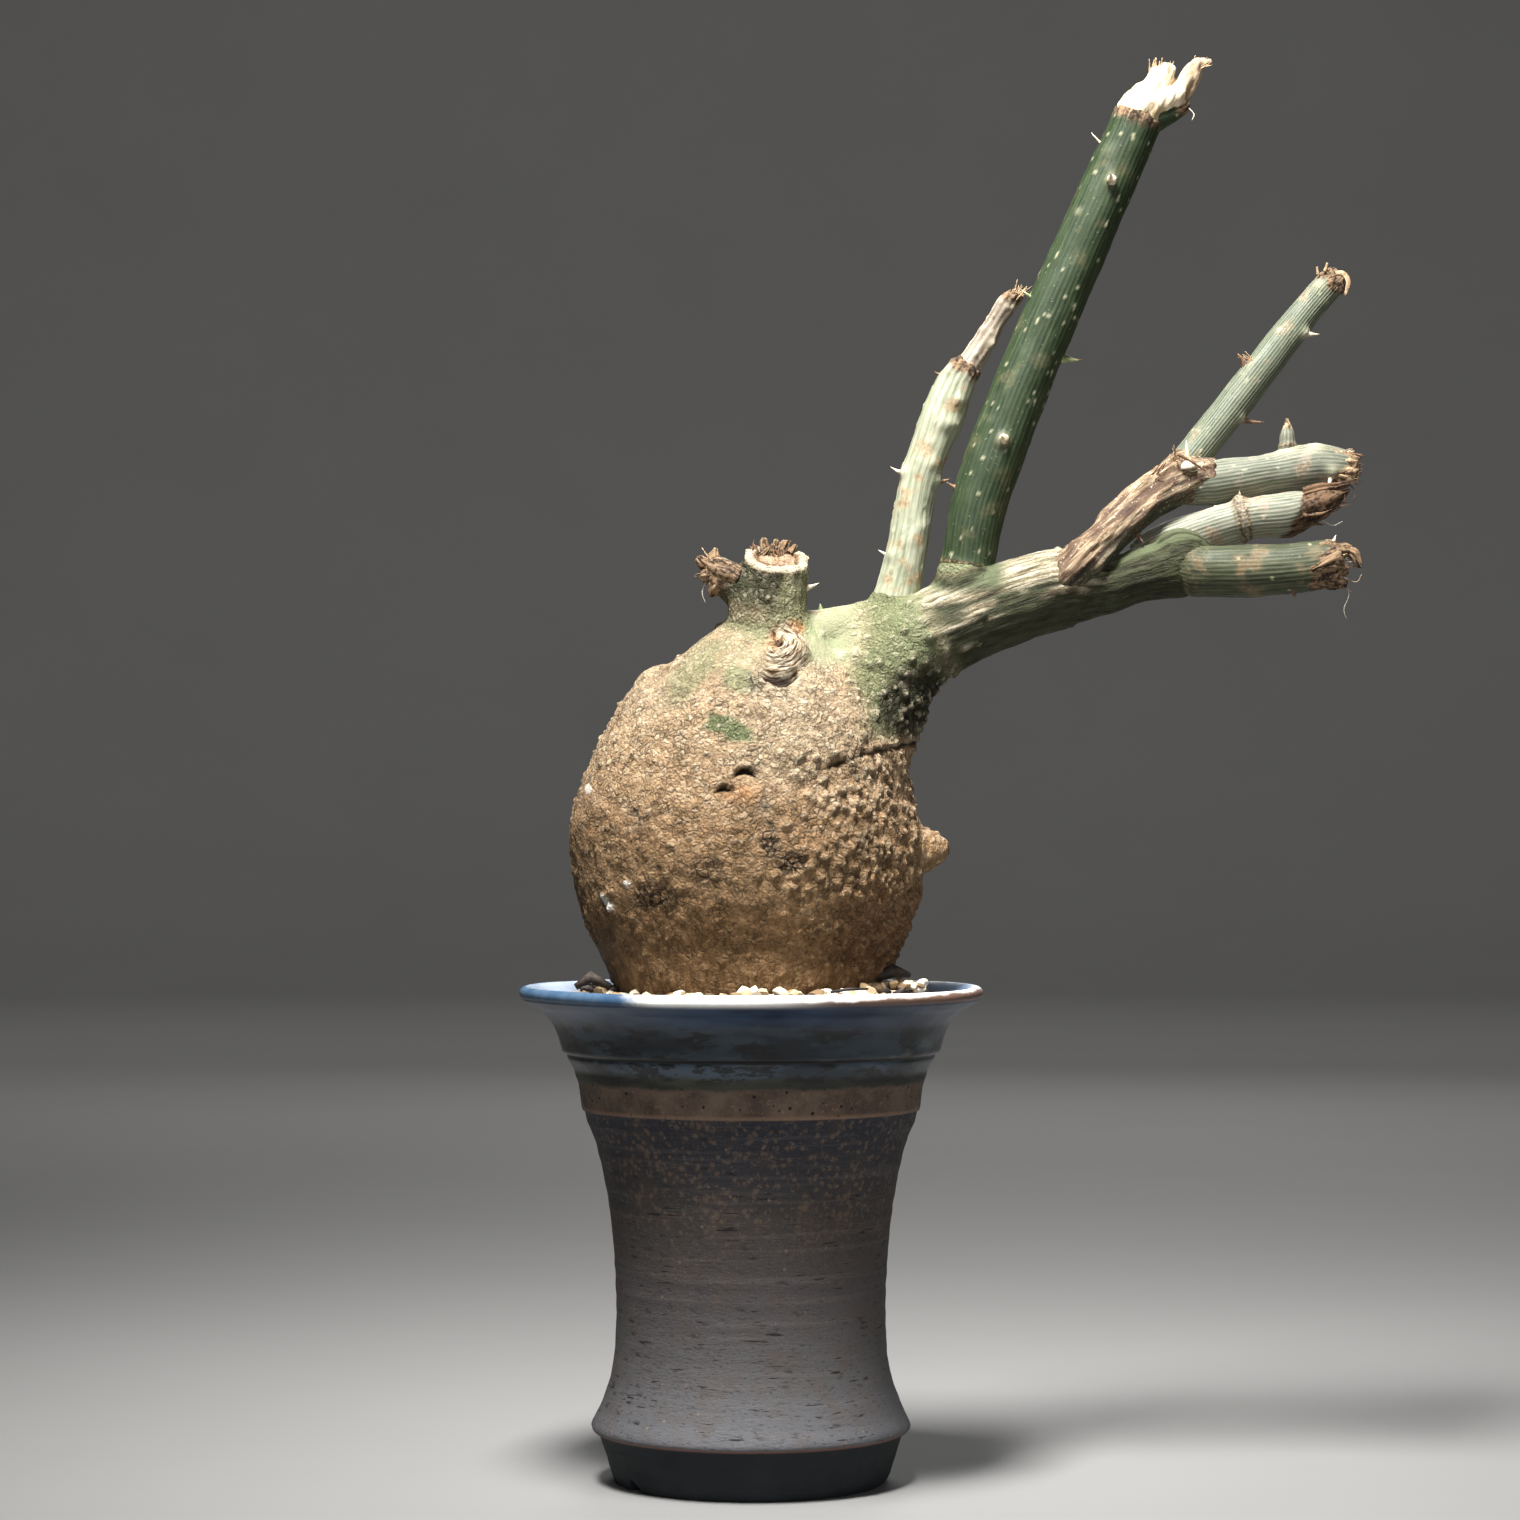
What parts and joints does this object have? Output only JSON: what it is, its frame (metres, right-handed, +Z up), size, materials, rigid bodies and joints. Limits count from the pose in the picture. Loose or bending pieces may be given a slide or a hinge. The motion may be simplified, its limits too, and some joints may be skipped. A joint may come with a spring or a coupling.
{
  "type": "potted caudex plant",
  "caption": "Potted caudex plant: a swollen warty stem with cut-back thorny branches, in a flared stoneware pot of soil dressed with pumice.",
  "frame": {"origin": "the middle of the part's outer box, on the plane that the pot's foot stands on", "axes": "+Z up along the pot's axis and the part's longest extent, +X the way the branches lean, -Y towards the viewer of the front"},
  "size_m": [0.2214, 0.12, 0.3705],
  "materials": {
    "stoneware": "matt, partly glazed",
    "net": "matt",
    "soil": "rough",
    "pumice": "rough",
    "bark": "rough, warty",
    "green_stem": "satin",
    "pale_stem": "satin",
    "dry_wood": "rough",
    "grey_wood": "rough"
  },
  "bodies": {
    "root": {"pot": "stoneware", "drain_net": "net", "soil": "soil", "top_dressing": "pumice", "caudex": "bark", "tall_stem": "green_stem", "tall_stem_torn_tip": "dry_wood", "pale_stem": "pale_stem", "pale_stem_dry_tip": "grey_wood", "dry_branch": "dry_wood", "slim_stem": "green_stem", "upper_stub": "green_stem", "middle_fork": "green_stem", "lower_fork": "green_stem"}
  },
  "joints": []
}
